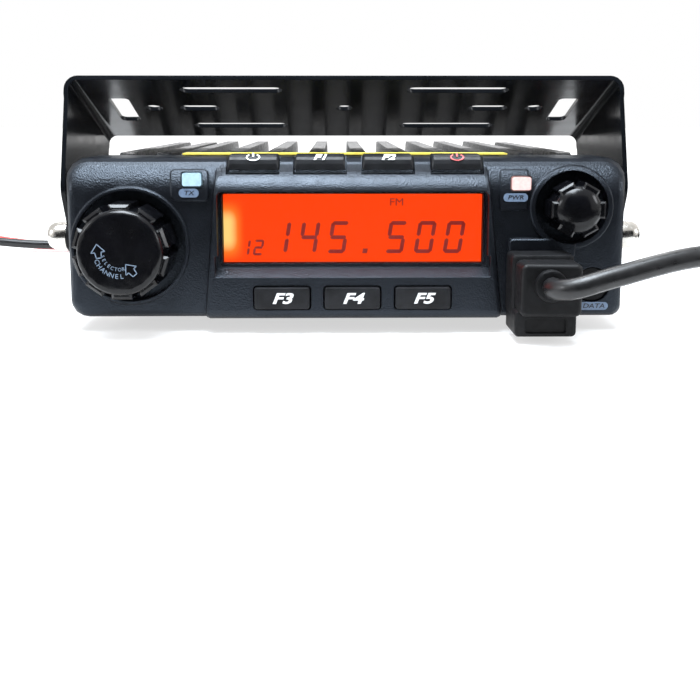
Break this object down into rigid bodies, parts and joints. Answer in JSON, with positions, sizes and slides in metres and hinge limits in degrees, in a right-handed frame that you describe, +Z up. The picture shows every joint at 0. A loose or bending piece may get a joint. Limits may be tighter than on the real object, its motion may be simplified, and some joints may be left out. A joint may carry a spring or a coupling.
{
  "type": "mobile transceiver",
  "caption": "Car radio transceiver: finned die-cast body, lit display, knobs and keys, tilting U bracket, DC lead and hand microphone on a curled cord.",
  "frame": {"origin": "centre of the standing bar under the bottom cover, on the surface the radio stands on", "axes": "+Z up, -Y out of the front panel, +X to the right seen from the front"},
  "size_m": [0.4285, 0.2187, 0.0652],
  "materials": {
    "black_powder_coat": "die-cast aluminium, black speckled powder coat",
    "black_textured_plastic": "black plastic with a fine grain",
    "black_knob_plastic": "satin black plastic",
    "charcoal_key_rubber": "charcoal silicone rubber",
    "black_painted_steel": "glossy black paint on sheet steel",
    "nickel_plated_steel": "nickel plate",
    "copper_plating": "copper-coloured plating",
    "dark_red_resin": "dark red moulded resin",
    "pale_gold_plating": "pale gold plating",
    "black_soft_rubber": "matt black rubber",
    "green_circuit_laminate": "green solder mask",
    "tin_plate": "tin plate",
    "red_wire_jacket": "red PVC",
    "black_wire_jacket": "black PVC",
    "clear_window_plastic": "clear plastic sheet",
    "orange_lit_display": "orange-red backlit display",
    "white_light_guide": "white acrylic",
    "tx_light_pipe_plastic": "pale blue clear plastic",
    "power_light_pipe_plastic": "pale red lit plastic",
    "black_label_film": "blank black label film",
    "yellow_label_film": "blank yellow label film",
    "black_module_resin": "black moulding resin",
    "loudspeaker_paper": "black paper cone on a steel basket",
    "black_shell_plastic": "black ABS with a fine grain"
  },
  "bodies": {
    "radio": {"heat_sink_chassis": "black_powder_coat", "bottom_cover": "black_powder_coat", "cover_screw_1": "nickel_plated_steel", "cover_screw_2": "nickel_plated_steel", "cover_screw_3": "nickel_plated_steel", "cover_screw_4": "nickel_plated_steel", "front_panel": "black_textured_plastic", "lcd_window": "clear_window_plastic", "lcd_glass": "orange_lit_display", "lcd_light_guide": "white_light_guide", "tx_light_pipe": "tx_light_pipe_plastic", "power_light_pipe": "power_light_pipe_plastic", "channel_encoder": "tin_plate", "volume_control": "tin_plate", "speaker_jack": "black_soft_rubber", "data_jack": "black_soft_rubber", "mic_jack": "black_soft_rubber", "mic_plug_boot": "black_soft_rubber", "antenna_connector_shell": "copper_plating", "antenna_insulator": "dark_red_resin", "antenna_contact": "pale_gold_plating", "antenna_screw_lower": "nickel_plated_steel", "antenna_screw_upper": "nickel_plated_steel", "dc_lead_gland": "black_soft_rubber", "rear_label_plate": "black_label_film", "top_label_strip": "yellow_label_film", "front_circuit_board": "green_circuit_laminate", "main_circuit_board": "green_circuit_laminate", "rf_power_module": "black_module_resin", "shield_can": "tin_plate", "loudspeaker": "loudspeaker_paper", "bracket_screw_left": "nickel_plated_steel", "bracket_screw_right": "nickel_plated_steel", "dc_lead_red": "red_wire_jacket", "dc_lead_black": "black_wire_jacket", "dc_connector": "black_soft_rubber", "mic_cord": "black_wire_jacket", "mic_cord_curl": "black_wire_jacket", "mic_cord_tail": "black_wire_jacket", "mic_rear_shell": "black_shell_plastic", "mic_front_shell": "black_shell_plastic", "mic_hanger_button": "nickel_plated_steel", "mic_strain_relief": "black_soft_rubber"},
    "bracket": {"mounting_bracket": "black_painted_steel", "bracket_washer_left": "black_soft_rubber", "bracket_washer_right": "black_soft_rubber"},
    "channel_selector": {"channel_knob": "black_knob_plastic", "channel_shaft": "tin_plate"},
    "volume": {"volume_knob": "black_knob_plastic", "volume_shaft": "tin_plate"},
    "key_f3": {"key_f3": "charcoal_key_rubber"},
    "key_f4": {"key_f4": "charcoal_key_rubber"},
    "key_f5": {"key_f5": "charcoal_key_rubber"},
    "key_menu": {"key_menu": "charcoal_key_rubber"},
    "key_f1": {"key_f1": "charcoal_key_rubber"},
    "key_f2": {"key_f2": "charcoal_key_rubber"},
    "key_power": {"key_power": "charcoal_key_rubber"},
    "ptt_key": {"mic_ptt_key": "charcoal_key_rubber"}
  },
  "joints": [
    {"name": "bracket_tilt", "type": "hinge", "parent": "radio", "child": "bracket", "pos_m": [0, -0.0435, 0.0217], "axis": [1, 0, 0], "range_deg": [-3, 38]},
    {"name": "channel_turn", "type": "hinge", "parent": "radio", "child": "channel_selector", "pos_m": [-0.0547, -0.0725, 0.0221], "axis": [0, -1, 0], "continuous": true},
    {"name": "volume_turn", "type": "hinge", "parent": "radio", "child": "volume", "pos_m": [0.0573, -0.0725, 0.0319], "axis": [0, -1, 0], "range_deg": [-150, 150]},
    {"name": "key_f3_press", "type": "slide", "parent": "radio", "child": "key_f3", "axis": [0, 1, 0], "range_m": [0, 0.0008], "stiffness_N_per_m": 600},
    {"name": "key_f4_press", "type": "slide", "parent": "radio", "child": "key_f4", "axis": [0, 1, 0], "range_m": [0, 0.0008], "stiffness_N_per_m": 600},
    {"name": "key_f5_press", "type": "slide", "parent": "radio", "child": "key_f5", "axis": [0, 1, 0], "range_m": [0, 0.0008], "stiffness_N_per_m": 600},
    {"name": "key_menu_press", "type": "slide", "parent": "radio", "child": "key_menu", "axis": [0, 0, -1], "range_m": [0, 0.0008], "stiffness_N_per_m": 600},
    {"name": "key_f1_press", "type": "slide", "parent": "radio", "child": "key_f1", "axis": [0, 0, -1], "range_m": [0, 0.0008], "stiffness_N_per_m": 600},
    {"name": "key_f2_press", "type": "slide", "parent": "radio", "child": "key_f2", "axis": [0, 0, -1], "range_m": [0, 0.0008], "stiffness_N_per_m": 600},
    {"name": "key_power_press", "type": "slide", "parent": "radio", "child": "key_power", "axis": [0, 0, -1], "range_m": [0, 0.0008], "stiffness_N_per_m": 600},
    {"name": "ptt_press", "type": "slide", "parent": "radio", "child": "ptt_key", "axis": [1, 0, 0], "range_m": [0, 0.0012], "stiffness_N_per_m": 600}
  ]
}
